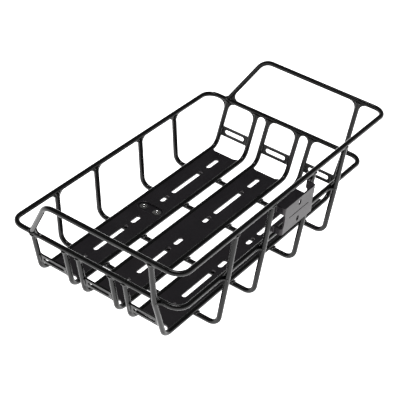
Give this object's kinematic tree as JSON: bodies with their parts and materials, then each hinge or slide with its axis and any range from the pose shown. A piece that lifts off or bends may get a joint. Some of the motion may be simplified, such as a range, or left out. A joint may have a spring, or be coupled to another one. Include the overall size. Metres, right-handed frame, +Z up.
{
  "type": "carrier basket",
  "caption": "Open carrier basket of welded round wire with a raised guard rail on three sides, slotted floor plates, slotted end straps and a lamp bracket.",
  "frame": {"origin": "middle of the bottom of the basket's overall box, on the undersides of the cross wires", "axes": "+X along the basket to its far end (the end with a slot in each floor plate), +Y to the low open side, +Z up; the lamp bracket is on the -Y side"},
  "size_m": [0.552, 0.327, 0.176],
  "materials": {
    "powder_coat": "satin black powder coat on steel wire",
    "sheet_coat": "satin black powder coat on steel sheet",
    "fastener_steel": "bright zinc-plated steel"
  },
  "bodies": {
    "root": {"lower_rim": "powder_coat", "guard_rail": "powder_coat", "floor_wire_1": "powder_coat", "floor_wire_2": "powder_coat", "floor_wire_3": "powder_coat", "floor_wire_4": "powder_coat", "floor_wire_5": "powder_coat", "floor_wire_6": "powder_coat", "cross_wire_1": "powder_coat", "cross_wire_2": "powder_coat", "cross_wire_3": "powder_coat", "cross_wire_4": "powder_coat", "floor_plate_left": "sheet_coat", "end_strap_near_left": "powder_coat", "end_strap_far_left": "powder_coat", "floor_plate_middle": "sheet_coat", "end_strap_near_middle": "powder_coat", "end_strap_far_middle": "powder_coat", "floor_plate_right": "sheet_coat", "end_strap_near_right": "powder_coat", "end_strap_far_right": "powder_coat", "rim_webs_near": "powder_coat", "rim_webs_far": "powder_coat", "rim_webs_left": "powder_coat", "guard_webs_near": "powder_coat", "guard_webs_far": "powder_coat", "guard_webs_right": "powder_coat", "crossing_webs_near": "powder_coat", "crossing_webs_far": "powder_coat", "crossing_webs_right": "powder_coat", "guard_foot_web_near": "powder_coat", "guard_foot_web_far": "powder_coat", "lamp_bracket": "sheet_coat", "clamp_bolts": "fastener_steel", "clamp_washers": "fastener_steel", "clamp_nuts": "fastener_steel"}
  },
  "joints": []
}
